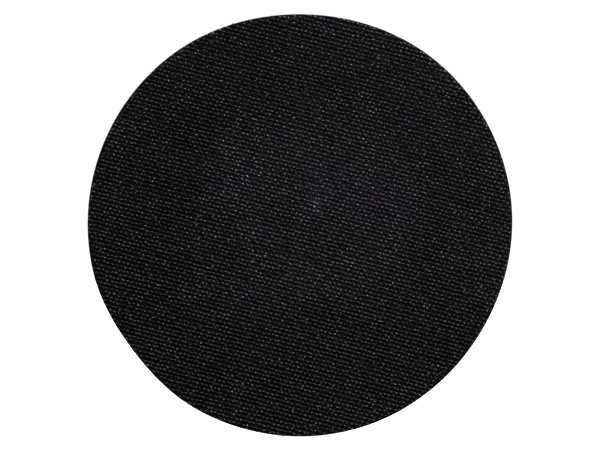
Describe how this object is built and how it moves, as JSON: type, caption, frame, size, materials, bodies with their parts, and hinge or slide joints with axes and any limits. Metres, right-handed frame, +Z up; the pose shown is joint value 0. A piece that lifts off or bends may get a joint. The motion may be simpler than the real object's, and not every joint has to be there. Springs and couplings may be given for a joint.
{
  "type": "orbital sander backing pad",
  "caption": "Round hook-and-loop backing pad for a random orbital sander: woven hook face, foam cushion, riveted steel hub and threaded drive stud.",
  "frame": {"origin": "on the stud's axis, in the plane of the raised seat of the hub", "axes": "+Y along the drive stud, away from the pad; the hook face looks along -Y; +Z is up in the pad as shown"},
  "size_m": [0.1249, 0.0317, 0.1242],
  "materials": {
    "hook_fabric": "satin",
    "adhesive_film": "satin",
    "foam": "matte",
    "glass_laminate": "satin",
    "zinc_plated_steel": "satin",
    "stud_steel": "satin",
    "rivet_steel": "satin",
    "washer_nylon": "satin"
  },
  "bodies": {
    "pad": {"foam_cushion": "foam", "backing_plate": "glass_laminate", "hub_flange": "zinc_plated_steel", "clamp_plate": "zinc_plated_steel", "drive_stud": "stud_steel", "rivet_1": "rivet_steel", "rivet_2": "rivet_steel", "rivet_3": "rivet_steel", "rivet_4": "rivet_steel", "rivet_5": "rivet_steel", "rivet_6": "rivet_steel"},
    "facing": {"hook_facing": "hook_fabric", "facing_bond_film": "adhesive_film"},
    "spacer": {"spacer_washer": "washer_nylon"}
  },
  "joints": [
    {"name": "cushion_compression", "type": "slide", "parent": "pad", "child": "facing", "axis": [0, 1, 0], "range_m": [0, 0.003], "stiffness_N_per_m": 25000, "deforming": ["foam_cushion"]},
    {"name": "spacer_slide", "type": "slide", "parent": "pad", "child": "spacer", "axis": [0, 1, 0], "range_m": [0, 0.0112]}
  ]
}
